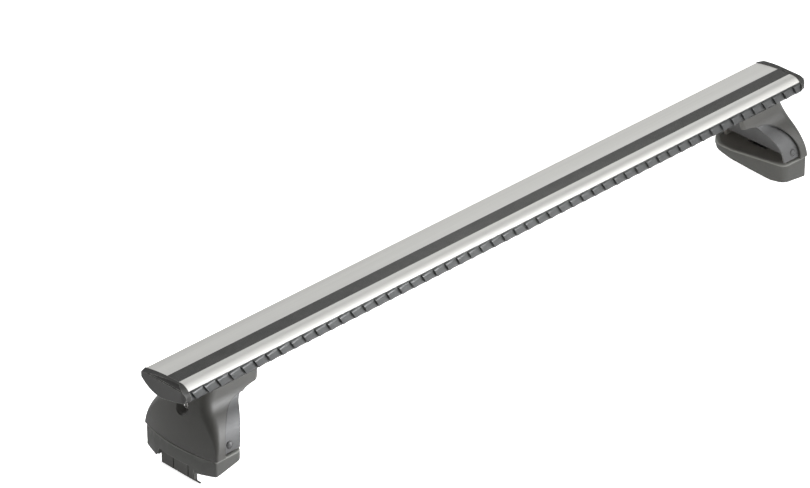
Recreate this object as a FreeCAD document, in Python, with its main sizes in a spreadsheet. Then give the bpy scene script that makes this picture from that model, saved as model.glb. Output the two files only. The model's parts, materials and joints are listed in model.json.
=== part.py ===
# Roof rack crossbar: an aerofoil bar with a clamp foot at each end.
# Millimetres. X runs along the bar, -Y is the notched leading edge, +Z is up,
# and the origin is under the middle of the bar, level with the lowest point of the clamps.

import FreeCAD, Part
import math
import os

Vector = FreeCAD.Vector
Rotation = FreeCAD.Rotation
Placement = FreeCAD.Placement

# Driving sizes. Lengths in millimetres, angles in degrees.
# Heights named *_level are measured from the datum, the bar's rear top edge.
# Distances named *_reach are measured along the bar from the end of the metal, inwards.
SIZES = {
    "bar_length": 1078.0,
    "datum_height": 135.0,
    "tail_position": 43.0,
    "tail_overhang": 2.8,
    "tail_overhang_level": -5.5,
    "tail_depth": 11.4,
    "crown_level": 6.1,
    "crown_position": -17.0,
    "top_arc_position": 5.0,
    "top_arc_drop": 0.7,
    "front_arc_setback": 10.0,
    "front_arc_drop": 1.6,
    "nose_position": -32.3,
    "nose_top_level": 0.4,
    "nose_bottom_level": -14.4,
    "belly_level": -25.0,
    "belly_position": 3.0,
    "belly_front_position": -17.0,
    "belly_front_rise": 4.4,
    "belly_rear_position": 26.0,
    "belly_rear_rise": 4.3,
    "tail_web_position": 23.0,
    "skin": 2.0,
    "top_slot_position": -5.2,
    "top_slot_mouth": 11.0,
    "top_slot_chamber": 20.0,
    "top_slot_height": 7.0,
    "strip_width": 20.4,
    "strip_recess": 2.4,
    "strip_lip": 3.0,
    "strip_side_play": 0.2,
    "strip_proud": 0.2,
    "strip_bevel": 0.6,
    "strip_barb": 2.5,
    "strip_barb_height": 2.0,
    "bottom_slot_mouth": 8.6,
    "bottom_slot_chamber": 17.2,
    "bottom_slot_height": 7.0,
    "bottom_slot_lip": 2.6,
    "nose_groove_mouth": 6.0,
    "nose_groove_chamber": 10.0,
    "nose_groove_depth": 3.0,
    "nose_lip": 2.5,
    "nose_bulge": 4.2,
    "nose_bulge_rise": 1.0,
    "notch_pitch": 20.0,
    "notch_start": 6.85,
    "notch_depth": 2.6,
    "notch_crest_play": 0.1,
    "notch_lean": 14.0,
    "cap_thickness": 9.5,
    "cap_proud": 0.7,
    "cap_ridge_level": 3.0,
    "cap_shoulder": 6.2,
    "cap_ridge_bevel": 1.1,
    "cap_tuck": 4.6,
    "cap_nose_rounding": 8.0,
    "cap_tail_rounding": 5.0,
    "cap_peg_length": 12.0,
    "cap_tail_peg_position": 30.0,
    "cap_tail_peg_width": 8.0,
    "cap_tail_peg_level": -4.0,
    "cap_tail_peg_height": 7.0,
    "cap_nose_peg_position": -20.5,
    "cap_nose_peg_width": 5.0,
    "cap_nose_peg_level": -10.5,
    "cap_nose_peg_height": 5.5,
    "bell_radius": 64.3,
    "bell_level": -90.5,
    "bell_turn": 48.0,
    "bell_top_level": -6.0,
    "saddle_radius": 28.0,
    "saddle_lean": 8.0,
    "foot_wall": 3.0,
    "tower_inset": 4.0,
    "face_radius": 270.0,
    "face_reach": 2.3,
    "face_level": -133.5,
    "edge_rounding": 3.5,
    "shoulder_rounding": 14.0,
    "inner_edge_rounding": 0.6,
    "cover_bottom_level": -91.0,
    "cover_play": 1.0,
    "part_line_radius": 55.0,
    "part_line_position": 83.5,
    "part_line_level": -88.5,
    "part_line_gap": 0.6,
    "part_line_lap": 2.5,
    "lobe_reach": 119.0,
    "lobe_tip_length": 15.0,
    "lobe_tip_rise": 9.0,
    "lobe_tip_rounding": 19.0,
    "lobe_level": -29.0,
    "running_play": 0.4,
    "tower_bottom_level": -88.5,
    "mouth_bottom_reach": 54.8,
    "mouth_middle_reach": 63.5,
    "mouth_middle_level": -60.0,
    "mouth_top_reach": 86.5,
    "panel_reach": 42.0,
    "panel_thickness": 3.0,
    "panel_bottom_level": -84.0,
    "panel_step": 0.8,
    "panel_step_level": -64.0,
    "saddle_plate_reach": 38.5,
    "saddle_plate_length": 45.5,
    "saddle_plate_width": 38.0,
    "saddle_plate_level": -31.0,
    "saddle_play": 0.3,
    "rib_position": 13.0,
    "rib_length": 24.0,
    "rib_drop": 20.0,
    "lug_width": 28.0,
    "lug_thickness": 5.0,
    "lug_reach": 9.0,
    "slot_nut_length": 40.0,
    "slot_nut_thickness": 5.0,
    "slot_nut_play": 0.3,
    "slot_nut_reach": 63.25,
    "slot_nut_lift": 0.1,
    "screw_radius": 3.0,
    "screw_head_radius": 5.5,
    "screw_head_height": 3.5,
    "screw_key": 4.0,
    "screw_pitch": 22.0,
    "pivot_reach": 39.0,
    "pivot_level": -79.0,
    "pivot_radius": 3.0,
    "pivot_head_radius": 4.6,
    "pivot_head_proud": 2.2,
    "pivot_collar": 1.2,
    "pivot_spot_depth": 1.0,
    "hole_play": 0.05,
    "carrier_top_level": -93.0,
    "carrier_thickness": 3.0,
    "carrier_inset": 5.0,
    "ear_width": 16.0,
    "ear_thickness": 4.0,
    "ear_play": 3.0,
    "ear_pocket_play": 1.3,
    "pad_top_level": -92.2,
    "pad_rim_rounding": 2.2,
    "pad_front_position": -62.0,
    "pad_rear_position": 61.0,
    "pad_outer_bulge": 4.6,
    "pad_outer_front": 14.0,
    "pad_outer_rear": 12.5,
    "pad_inner_front": 57.0,
    "pad_inner_rear": 73.0,
    "pad_waist_position": 18.0,
    "pad_heel_position": 42.0,
    "pad_heel_cut": 15.0,
    "pad_ball_position": -42.0,
    "pad_knee_position": 35.0,
    "pad_toe_rounding": 3.0,
    "pad_ball_rounding": 11.0,
    "pad_waist_rounding": 30.0,
    "pad_heel_rounding": 14.0,
    "pad_tail_rounding": 16.0,
    "pad_corner_rounding": 4.0,
    "window_top_level": -110.5,
    "window_front_play": 2.0,
    "window_corner": 2.5,
    "window_rear_drop": 14.0,
    "clamp_position": 4.0,
    "clamp_width": 58.0,
    "clamp_reach": 14.0,
    "clamp_steel": 3.0,
    "clamp_shoulder_level": -107.0,
    "clamp_neck_width": 28.0,
    "clamp_flange": 20.0,
    "well_length": 24.5,
    "well_play": 3.0,
    "pocket_play": 2.5,
    "pocket_depth": 4.5,
    "flange_drop": 2.0,
    "clamp_lip": 6.0,
    "clamp_lip_rise": 3.0,
    "clamp_lip_width": 34.0,
    "clamp_toe_length": 8.0,
    "clamp_toe_depth": 2.0,
    "clamp_toe_thickness": 1.2,
    "guard_thickness": 2.0,
    "guard_top_level": -105.0,
    "guard_foot_gap": 1.2,
    "guard_play": 1.3,
    "guard_rounding": 0.6,
    "guard_front_groove": -14.5,
    "guard_rear_groove": 11.5,
    "guard_groove": 1.4,
    "bolt_tilt": 12.0,
    "bolt_reach": 25.5,
    "bolt_radius": 4.0,
    "bolt_head_radius": 6.5,
    "bolt_head_height": 8.0,
    "bolt_key": 6.0,
    "bolt_length": 38.0,
    "bolt_hole_play": 0.5,
    "bolt_seat_level": -73.5,
    "washer_radius": 8.0,
    "washer_thickness": 1.6,
    "nut_flats": 13.0,
    "nut_height": 6.5,
    "lock_level": -44.5,
    "lock_radius": 4.3,
    "lock_head_reach": 25.0,
    "lock_wall": 3.0,
    "lock_play": 0.06,
    "lock_bevel": 0.6,
    "scoop_radius": 10.0,
    "scoop_position": 16.0,
    "scoop_level": -41.5,
    "scoop_rim_radius": 11.6,
    "scoop_rim_slope": 0.8,
    "scoop_wall": 2.5,
    "keyway_width": 1.2,
    "keyway_depth": 1.5,
    "cam_thickness": 2.5,
    "cam_width": 7.0,
    "cam_length": 10.5,
    "cam_play": 0.75,
}

# Depths of the rubber pads below the datum, at the outer and inner edge, at four stations across.
# The two pads differ, because a roof edge is not level along the car.
PAD_DEPTHS = {
    "left": {
        "outer_front": 113.5, "outer_ball": 115.5, "outer_knee": 123.0, "outer_rear": 119.5,
        "inner_front": 100.5, "inner_ball": 104.5, "inner_knee": 109.0, "inner_rear": 110.0,
    },
    "right": {
        "outer_front": 122.6, "outer_ball": 121.5, "outer_knee": 118.0, "outer_rear": 115.0,
        "inner_front": 114.6, "inner_ball": 117.8, "inner_knee": 102.5, "inner_rear": 94.5,
    },
}

doc = FreeCAD.newDocument("roof_rack_crossbar")


def make_sheet():
    """The spreadsheet that holds every driving size under its own alias."""
    sheet = doc.addObject("Spreadsheet::Sheet", "sizes")
    cells = dict(SIZES)
    for side, depths in PAD_DEPTHS.items():
        for corner, value in depths.items():
            cells[f"{side}_pad_{corner}"] = value
    for row, (alias, value) in enumerate(cells.items(), start=1):
        sheet.set(f"A{row}", alias)
        sheet.set(f"B{row}", str(value))
        sheet.setAlias(f"B{row}", alias)
    doc.recompute()
    return sheet


sheet = make_sheet()


def size(alias):
    """A driving size as a plain number."""
    return float(sheet.get(alias))


def bind(item, **expressions):
    """Ties properties of an object to cells of the sheet. Two underscores stand for a dot."""
    for name, expression in expressions.items():
        item.setExpression(name.replace("__", "."), expression)


AXIS_X = Vector(1, 0, 0)
AXIS_Y = Vector(0, 1, 0)
AXIS_Z = Vector(0, 0, 1)
ALONG_BAR = Rotation(AXIS_Z, AXIS_X)

# Half of a space that is wider, longer and higher than a foot, for cutting tools that end outside it.
AMPLE = 2.0 * size("bell_radius")


# Small helpers for flat outlines

def closed_wire(steps, lift):
    """A closed wire from points and arcs. A step is a point, or a pair (via, point) for an arc.

    The first step gives the starting point. An arc there closes the wire.
    """
    closing = steps[0]
    start = closing[1] if isinstance(closing[0], tuple) else closing
    here = start
    edges = []
    for step in steps[1:] + [closing]:
        if isinstance(step[0], tuple):
            via, there = step
            edges.append(Part.Arc(lift(here), lift(via), lift(there)).toShape())
        else:
            there = step
            edges.append(Part.LineSegment(lift(here), lift(there)).toShape())
        here = there
    return Part.Wire(edges)


def across(point):
    """A point of a section across the bar: (y, z)."""
    return Vector(0, point[0], point[1])


def sideways(point):
    """A point of a side view along the bar: (x, z)."""
    return Vector(point[0], 0, point[1])


def plan(point):
    """A point of a top view: (x, y)."""
    return Vector(point[0], point[1], 0)


def prism(wire, direction, start=None):
    """A solid swept from a closed wire, moved to its start first."""
    face = Part.Face(wire)
    if start is not None:
        face.translate(start)
    return face.extrude(direction)


def block(low, high):
    """A box between two corners."""
    span = Vector(*high) - Vector(*low)
    return Part.makeBox(span.x, span.y, span.z, Vector(*low))


# The bar

def bar_outline(nose_bulge, proud=0.0, tuck=0.0):
    """The aerofoil outline across the bar, with a flat nose or with the strip's bulge on it.

    Proud makes it larger all round. Tuck draws its tail, belly and nose in, for the end of a cap.
    """
    tail = size("tail_position") + proud - tuck
    nose = size("nose_position")
    crown = (size("crown_position"), size("crown_level") + proud)
    belly_level = size("belly_level") - proud + tuck
    belly = (size("belly_position"), belly_level)
    nose_top = (nose, size("nose_top_level") + proud)
    nose_bottom = (nose, size("nose_bottom_level") - proud + tuck / 2)
    tail_bottom = (tail, -size("tail_depth") - proud + tuck)
    top_arc = (size("top_arc_position"), crown[1] - size("top_arc_drop"))
    front_arc = (crown[0] - size("front_arc_setback"), crown[1] - size("front_arc_drop"))
    belly_front = (size("belly_front_position"), belly_level + size("belly_front_rise"))
    belly_rear = (size("belly_rear_position"), belly_level + size("belly_rear_rise"))
    overhang = (tail + size("tail_overhang"), size("tail_overhang_level"))
    nose_side = nose_bottom
    if nose_bulge:
        middle = 0.5 * (nose_top[1] + nose_bottom[1]) + size("nose_bulge_rise")
        nose_side = ((nose - size("nose_bulge") - proud + tuck / 2, middle), nose_bottom)
    steps = [
        (overhang, (tail, proud)),
        (top_arc, crown),
        (front_arc, nose_top),
        nose_side,
        (belly_front, belly),
        (belly_rear, tail_bottom),
    ]
    return closed_wire(steps, across)


def rectangle(centre, width, low, high):
    """A flat rectangle across the bar."""
    left = centre - width / 2
    right = centre + width / 2
    return Part.Face(closed_wire([(left, low), (right, low), (right, high), (left, high)], across))


def bar_levels():
    """Heights and depths that the bar, its strips and its slot nuts share."""
    recess_floor = size("crown_level") - size("strip_recess")
    chamber_top = recess_floor - size("strip_lip")
    lip_top = size("belly_level") + size("bottom_slot_lip")
    return {
        "recess_floor": recess_floor,
        "chamber_top": chamber_top,
        "chamber_floor": chamber_top - size("top_slot_height"),
        "lip_top": lip_top,
        "slot_ceiling": lip_top + size("bottom_slot_height"),
        "groove_middle": 0.5 * (size("nose_top_level") + size("nose_bottom_level")),
        "above": AMPLE,
        "below": -AMPLE,
    }


def nose_rectangle(depth_low, depth_high, width):
    """A flat rectangle behind the nose face, between two depths and centred on its groove."""
    nose = size("nose_position")
    low = bar_levels()["groove_middle"] - width / 2
    return rectangle(nose + 0.5 * (depth_low + depth_high), depth_high - depth_low, low, low + width)


def bar_section():
    """The hollow section: skin, webs, the top slot, the bottom slot and the nose groove."""
    level = bar_levels()
    skin = size("skin")
    outline = bar_outline(False)
    top_centre = size("top_slot_position")
    groove_bottom = size("nose_lip") + size("nose_groove_depth")
    housings = [
        rectangle(top_centre, size("top_slot_chamber") + 2 * skin, level["chamber_floor"] - skin, level["above"]),
        rectangle(0, size("bottom_slot_chamber") + 2 * skin, level["below"], level["slot_ceiling"] + skin),
        rectangle(top_centre, skin, level["slot_ceiling"], level["chamber_floor"]),
        rectangle(size("tail_web_position"), skin, level["below"], level["above"]),
        nose_rectangle(-skin, groove_bottom + skin, size("nose_groove_chamber") + 2 * skin),
    ]
    hollow = Part.Face(outline.makeOffset2D(-skin)).cut(housings)
    slots = [
        rectangle(top_centre, size("strip_width"), level["recess_floor"], level["above"]),
        rectangle(top_centre, size("top_slot_mouth"), level["chamber_top"], level["above"]),
        rectangle(top_centre, size("top_slot_chamber"), level["chamber_floor"], level["chamber_top"]),
        rectangle(0, size("bottom_slot_mouth"), level["below"], level["slot_ceiling"]),
        rectangle(0, size("bottom_slot_chamber"), level["lip_top"], level["slot_ceiling"]),
        nose_rectangle(-skin, groove_bottom, size("nose_groove_mouth")),
        nose_rectangle(size("nose_lip"), groove_bottom, size("nose_groove_chamber")),
    ]
    return Part.Face(outline).cut([hollow] + slots)


def extruded_section(label, section):
    """A section drawn once and swept along the whole bar by a bound extrusion."""
    drawing = doc.addObject("Part::Feature", label + "_section")
    drawing.Shape = section
    body = doc.addObject("Part::Extrusion", label)
    body.Base = drawing
    body.DirMode = "Custom"
    body.Dir = AXIS_X
    body.Solid = True
    body.Symmetric = True
    body.Label = label
    bind(body, LengthFwd="sizes.bar_length", Placement__Base__z="sizes.datum_height")
    return body


def strip_section():
    """The top rubber strip: a flat cap in the recess, a stem and a barb under the slot's lips."""
    level = bar_levels()
    centre = size("top_slot_position")
    play = size("strip_side_play")
    cap = size("strip_width") / 2 - play
    stem = size("top_slot_mouth") / 2 - play
    barb = stem + size("strip_barb")
    bevel = size("strip_bevel")
    top = size("crown_level") + size("strip_proud")
    barb_floor = level["chamber_top"] - size("strip_barb_height")
    half = [
        (stem, barb_floor),
        (barb, level["chamber_top"]),
        (stem, level["chamber_top"]),
        (stem, level["recess_floor"]),
        (cap, level["recess_floor"]),
        (cap, top - bevel),
        (cap - bevel, top),
    ]
    right = [(centre + y, z) for y, z in half]
    left = [(centre - y, z) for y, z in reversed(half)]
    return Part.Face(closed_wire(right + left, across))


def nose_strip():
    """The notched strip: a bulged section cut to a leaning sawtooth along the bar."""
    nose = size("nose_position")
    length = size("bar_length")
    middle = bar_levels()["groove_middle"]
    top = size("nose_top_level")
    bottom = size("nose_bottom_level")
    play = size("strip_side_play")
    stem = size("nose_groove_mouth") / 2 - play
    barb = size("nose_groove_chamber") / 2 - play
    lip = nose + size("nose_lip")
    barb_end = lip + size("strip_barb_height")
    peak = nose - size("nose_bulge")
    crest = peak - size("notch_crest_play")
    section = closed_wire([
        (nose, top),
        ((peak, 0.5 * (top + bottom) + size("nose_bulge_rise")), (nose, bottom)),
        (nose, middle - stem),
        (lip, middle - stem),
        (lip, middle - barb),
        (barb_end, middle - stem),
        (barb_end, middle + stem),
        (lip, middle + barb),
        (lip, middle + stem),
        (nose, middle + stem),
    ], across)
    body = prism(section, AXIS_X * length, AXIS_X * (-length / 2))
    pitch = size("notch_pitch")
    margin = size("strip_barb_height")
    height = top - bottom + 2 * margin
    lean = height * math.tan(math.radians(size("notch_lean")))
    first = -length / 2 + size("notch_start") - 2 * pitch
    count = math.ceil(length / pitch) + 4
    back = barb_end + margin
    teeth = [(first, back)]
    for index in range(count):
        teeth.append((first + index * pitch, crest))
        teeth.append((first + (index + 1) * pitch, crest + size("notch_depth")))
    teeth.append((first + count * pitch, back))
    comb = prism(closed_wire(teeth, plan), Vector(lean, 0, -height), Vector(-lean / 2, 0, top + margin))
    return body.common(comb)


def cap_corners():
    """Top view of the left cap, with its nose and tail corners rounded."""
    end = -size("cap_thickness")
    nose = size("nose_position") - size("nose_bulge") - size("cap_proud")
    tail = size("tail_position") + size("cap_proud")
    at_nose = size("cap_nose_rounding")
    at_tail = size("cap_tail_rounding")
    middle = 1 - math.sqrt(0.5)
    outline = closed_wire([
        (AMPLE, nose),
        (end + at_nose, nose),
        ((end + middle * at_nose, nose + middle * at_nose), (end, nose + at_nose)),
        (end, tail - at_tail),
        ((end + middle * at_tail, tail - middle * at_tail), (end + at_tail, tail)),
        (AMPLE, tail),
    ], plan)
    return prism(outline, AXIS_Z * (2 * AMPLE), AXIS_Z * -AMPLE)


def end_cap():
    """The left cap: the outline a little proud of the metal, drawn in towards its end, with a ridge."""
    thickness = size("cap_thickness")
    proud = size("cap_proud")
    end_outline = bar_outline(True, proud, size("cap_tuck"))
    end_outline.translate(AXIS_X * -thickness)
    cap = Part.makeLoft([bar_outline(True, proud), end_outline], True, True)
    ridge = size("cap_ridge_level")
    crown = size("crown_level") + proud
    bevel = size("cap_ridge_bevel")
    shoulder = size("cap_shoulder")
    start = (-thickness + bevel, ridge)
    end = (-thickness + shoulder, crown)
    bulge = math.sqrt(0.5)
    via = (end[0] - bulge * (end[0] - start[0]), start[1] + bulge * (end[1] - start[1]))
    over = closed_wire([
        (-thickness, ridge - bevel),
        start,
        (via, end),
        (end[0], AMPLE),
        (-AMPLE, AMPLE),
        (-AMPLE, ridge - bevel),
    ], sideways)
    cap = cap.cut(prism(over, AXIS_Y * (2 * AMPLE), AXIS_Y * -AMPLE)).common(cap_corners())
    pegs = []
    for peg in ("cap_tail_peg", "cap_nose_peg"):
        centre = size(peg + "_position")
        half = size(peg + "_width") / 2
        top = size(peg + "_level")
        pegs.append(block((0, centre - half, top - size(peg + "_height")), (size("cap_peg_length"), centre + half, top)))
    return cap.fuse(pegs).removeSplitter()


# The foot's outer form: a bell across the bar and a large ball for the outer face

def flare_centre():
    """The centre across the bar of the hollow round that carries the bell's side out to the nose."""
    turn = math.radians(size("bell_turn"))
    full = size("bell_radius") + size("saddle_radius")
    return -full * math.cos(turn), size("bell_level") + full * math.sin(turn)


def bell_wire(inset, bottom):
    """The bell across the bar, set in from its outer face by a distance."""
    radius = size("bell_radius") - inset
    centre = size("bell_level")
    top = size("bell_top_level")
    turn = math.radians(size("bell_turn"))
    lean = math.radians(size("saddle_lean"))
    flare = size("saddle_radius") + inset
    flare_y, flare_z = flare_centre()

    def on_bell(angle):
        return (-radius * math.cos(angle), centre + radius * math.sin(angle))

    def on_flare(angle):
        return (flare_y + flare * math.cos(angle), flare_z - flare * math.sin(angle))

    def mirrored(point):
        return (-point[0], point[1])

    flare_middle = on_flare((turn + lean) / 2)
    flare_end = on_flare(lean)
    crest = (flare_end[0] + (top - flare_end[1]) * math.tan(lean), top)
    return closed_wire([
        (-radius, bottom),
        on_bell(0),
        (on_bell(turn / 2), on_bell(turn)),
        (flare_middle, flare_end),
        crest,
        mirrored(crest),
        mirrored(flare_end),
        (mirrored(flare_middle), mirrored(on_bell(turn))),
        (mirrored(on_bell(turn / 2)), mirrored(on_bell(0))),
        (radius, bottom),
    ], across)


def bell(inset, bottom, low_reach, high_reach):
    """The bell swept along the bar."""
    return prism(bell_wire(inset, bottom), AXIS_X * (high_reach - low_reach), AXIS_X * low_reach)


def ball_centre():
    """The centre of the ball whose surface is the outer face of the foot."""
    return Vector(size("face_reach") + size("face_radius"), 0, size("face_level"))


def face_ball(inset):
    """The ball of the outer face, set in by a distance."""
    return Part.makeSphere(size("face_radius") - inset, ball_centre())


def bar_keep_out(play):
    """The space of the bar with a play around it."""
    outline = bar_outline(True).makeOffset2D(play)
    return prism(outline, AXIS_X * (2 * AMPLE), AXIS_X * (-AMPLE / 2))


def side_prism(outline):
    """A side view swept right across the foot."""
    return prism(closed_wire(outline, sideways), AXIS_Y * (2 * AMPLE), AXIS_Y * -AMPLE)


def part_line(growth):
    """The foot, the middle and the head of the round part line, grown by a distance."""
    radius = size("part_line_radius") + growth
    reach = size("part_line_position")
    level = size("part_line_level")
    slant = radius * math.sqrt(0.5)
    return (reach - radius, level), (reach - slant, level + slant), (reach, level + radius)


def cover_region():
    """Side view of the cover: outer end, part line and the lobe under the bar's nose."""
    bottom = size("cover_bottom_level")
    foot, middle, head = part_line(size("part_line_gap") / 2)
    lobe = size("lobe_reach")
    level = size("lobe_level")
    tip = size("lobe_tip_length")
    rise = size("lobe_tip_rise")
    neck = (lobe - tip, level)
    hollow = (head[0] + 0.4 * (neck[0] - head[0]), level - 0.35 * (level - head[1]))
    return [
        (-AMPLE, bottom),
        (foot[0], bottom),
        foot,
        (middle, head),
        (hollow, neck),
        ((lobe - 0.3 * tip, level + 0.4 * rise), (lobe, level + rise)),
        (lobe, AMPLE),
        (-AMPLE, AMPLE),
    ]


def tower_wall_region():
    """Side view of the tower's side walls: from a lap under the cover to the open mouth of the foot."""
    bottom = size("tower_bottom_level")
    foot, middle, head = part_line(size("part_line_lap"))
    mouth_middle = (size("mouth_middle_reach"), size("mouth_middle_level"))
    return [
        (foot[0], bottom),
        (middle, head),
        (size("mouth_top_reach"), head[1]),
        (mouth_middle, (size("mouth_bottom_reach"), bottom)),
    ]


def lobe_corners():
    """Top view of the cover: the tips of its lobes are rounded."""
    reach = size("lobe_reach")
    rounding = size("lobe_tip_rounding")
    flare_y, flare_z = flare_centre()
    rise = flare_z - size("lobe_level")
    half = -flare_y - math.sqrt(size("saddle_radius") ** 2 - rise ** 2)
    near = reach - rounding
    middle = (near + rounding * math.sqrt(0.5), half - rounding * (1 - math.sqrt(0.5)))
    outline = closed_wire([
        (-AMPLE, -AMPLE),
        (near, -AMPLE),
        (near, -half),
        ((middle[0], -middle[1]), (reach, rounding - half)),
        (reach, half - rounding),
        (middle, (near, half)),
        (near, AMPLE),
        (-AMPLE, AMPLE),
    ], plan)
    return prism(outline, AXIS_Z * (2 * AMPLE), AXIS_Z * -AMPLE)


def is_face_corner(edge, inset):
    """True for an edge between the ball face and the bell's side, above the cover's lower edge."""
    centre = ball_centre()
    low = edge.FirstParameter
    span = edge.LastParameter - low
    for share in (0.0, 0.3, 0.7, 1.0):
        if abs((edge.valueAt(low + share * span) - centre).Length - size("face_radius") + inset) > 1e-3:
            return False
    middle = edge.valueAt(low + 0.5 * span)
    return middle.z > size("cover_bottom_level") - size("foot_wall") and abs(middle.y) > size("foot_wall")


def cover_body(inset, bottom, reach, low_rounding, high_rounding):
    """The bell cut to the ball face. The corners between them are rounded more towards the bar."""
    body = bell(inset, bottom, -size("foot_wall"), reach).common(face_ball(inset))
    for side in (-1, 1):
        chain = [edge for edge in body.Edges
                 if is_face_corner(edge, inset) and edge.CenterOfMass.y * side > 0]
        longest = max(chain, key=lambda edge: edge.Length)
        start = longest.valueAt(longest.FirstParameter)
        end = longest.valueAt(longest.LastParameter)
        radii = (low_rounding, high_rounding) if start.z < end.z else (high_rounding, low_rounding)
        body = body.makeFillet(*radii, [longest])
    return body


def foot_cover():
    """The outer cover: face, two side walls with lobes, and the scoop and tube of the lock."""
    wall = size("foot_wall")
    bottom = size("cover_bottom_level") - 2 * wall
    reach = 2 * size("lobe_reach")
    low = size("edge_rounding")
    high = size("shoulder_rounding")
    outer = cover_body(0, bottom, reach, low, high)
    inner = cover_body(wall, bottom - wall, reach + wall, size("inner_edge_rounding"), high - wall)
    shell = outer.cut(inner).common(side_prism(cover_region())).common(lobe_corners())
    shell = shell.cut(bar_keep_out(size("cover_play")))

    scoop_radius = size("scoop_radius")
    rim = size("scoop_rim_radius")
    scoop_centre = Vector(size("scoop_position"), 0, size("scoop_level"))
    bowl = Part.makeSphere(scoop_radius + size("scoop_wall"), scoop_centre).common(face_ball(wall / 2))
    scoop = Part.makeSphere(scoop_radius, scoop_centre)
    rim_cone = Part.makeCone(rim, 0, rim / size("scoop_rim_slope"), scoop_centre, AXIS_X)
    mouth = Part.makeCylinder(rim, AMPLE, scoop_centre, AXIS_X * -1)

    lock_place = Vector(0, 0, size("lock_level"))
    tube_start = size("lock_head_reach") + size("running_play")
    tube_length = size("panel_reach") - size("running_play") - tube_start
    tube = Part.makeCylinder(size("lock_radius") + size("lock_wall"), tube_length,
                             lock_place + AXIS_X * tube_start, AXIS_X)
    bore = Part.makeCylinder(size("lock_radius") + size("lock_play"), AMPLE, lock_place, AXIS_X)
    return shell.fuse([bowl, tube]).cut([scoop, rim_cone, mouth, bore]).removeSplitter()


def bolt_axis():
    """The clamp bolt's line: its unit direction upwards and its point at the clamp's flange."""
    tilt = math.radians(size("bolt_tilt"))
    direction = Vector(math.sin(tilt), 0, math.cos(tilt))
    return direction, Vector(size("bolt_reach"), size("clamp_position"), flange_level())


def flange_level():
    """Height of the clamp's flange where the bolt passes it."""
    return size("carrier_top_level") - size("carrier_thickness") - size("flange_drop")


def bolt_seat():
    """The point on the bolt's line where the washer sits on the tower's lug."""
    direction, start = bolt_axis()
    return start + direction * ((size("bolt_seat_level") - start.z) / direction.z)


def screw_reaches():
    """Places of the two tower screws along the bar."""
    middle = size("slot_nut_reach")
    return (middle - size("screw_pitch") / 2, middle + size("screw_pitch") / 2)


def tower_radius():
    """Outer radius of the tower's bell."""
    return size("bell_radius") - size("tower_inset")


def pivot_seat():
    """Distance from the middle plane to the flat on which a pivot pin's head sits."""
    rise = size("pivot_level") - size("bell_level")
    return math.sqrt(tower_radius() ** 2 - rise ** 2) - size("pivot_spot_depth")


def ear_position():
    """Distance from the middle plane to the outer face of a carrier ear."""
    return pivot_seat() + size("pivot_spot_depth") - size("foot_wall") - size("ear_play")


def tower_plates():
    """The cross panel with its thicker lower part, the saddle plate under the bar, and the ribs."""
    wall = size("foot_wall")
    inset = size("tower_inset") + wall / 2
    bottom = size("tower_bottom_level") - wall
    panel = size("panel_reach")
    thick = size("panel_thickness")
    under = size("saddle_plate_level")

    def panel_piece(thickness, top):
        low = (0, -AMPLE, size("panel_bottom_level"))
        return bell(inset, bottom, panel, panel + thickness).common(block(low, (AMPLE, AMPLE, top)))

    cross = panel_piece(thick, under + wall)
    step = panel_piece(thick + size("panel_step"), size("panel_step_level"))
    half = size("saddle_plate_width") / 2
    plate_end = size("saddle_plate_reach") + size("saddle_plate_length")
    plate = block((size("saddle_plate_reach"), -half, under), (plate_end, half, size("bottom_slot_lip") * -4))
    ribs = []
    for side in (-1, 1):
        outline = closed_wire([
            (panel, under + wall),
            (panel + thick + size("rib_length"), under + wall),
            (panel + thick + size("rib_length"), under),
            (panel, under - size("rib_drop")),
        ], sideways)
        ribs.append(prism(outline, AXIS_Y * wall, AXIS_Y * (side * size("rib_position") - wall / 2)))
    return [cross, step, plate] + ribs


def bolt_lug():
    """The lug on the cross panel that carries the clamp bolt."""
    half = size("lug_width") / 2
    thick = size("lug_thickness")
    length = 2 * size("panel_reach")
    lug = Part.makeBox(length, 2 * half, thick, Vector(-size("lug_reach"), -half, -thick))
    lug.Placement = Placement(bolt_seat(), Rotation(AXIS_Y, size("bolt_tilt")))
    inside = size("panel_reach") + size("panel_thickness") / 2
    return lug.common(block((0, -AMPLE, -AMPLE), (inside, AMPLE, AMPLE)))


def lock_openings():
    """The round hole and the slot in the cross panel through which the lock's cam passes."""
    panel = size("panel_reach")
    play = size("cam_play")
    level = size("lock_level")
    half = size("cam_width") / 2 + play
    depth = size("panel_thickness") + size("panel_step")
    hub = Part.makeCylinder(size("lock_radius") + play, 4 * depth, Vector(panel - depth, 0, level), AXIS_X)
    slot = block((panel - depth, -half, level - size("cam_length") - play), (panel + 3 * depth, half, level))
    return [hub, slot]


def pivot_cuts():
    """Bores, head seats and ear pockets for the two pivot pins."""
    reach = size("pivot_reach")
    level = size("pivot_level")
    ear_half = size("ear_width") / 2 + size("ear_pocket_play")
    ear_low = ear_position() - size("ear_thickness") - size("ear_pocket_play")
    ear_high = ear_position() + size("ear_pocket_play") / 2
    cuts = []
    for side in (-1, 1):
        low, high = sorted((side * ear_low, side * ear_high))
        cuts.append(block((reach - ear_half, low, -AMPLE), (reach + ear_half, high, level + ear_half)))
        bore_start = Vector(reach, side * ear_low, level)
        cuts.append(Part.makeCylinder(size("pivot_radius") + size("hole_play"), AMPLE, bore_start, AXIS_Y * side))
        spot_start = Vector(reach, side * pivot_seat(), level)
        cuts.append(Part.makeCylinder(size("pivot_head_radius") + size("running_play"), AMPLE, spot_start, AXIS_Y * side))
    return cuts


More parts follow.
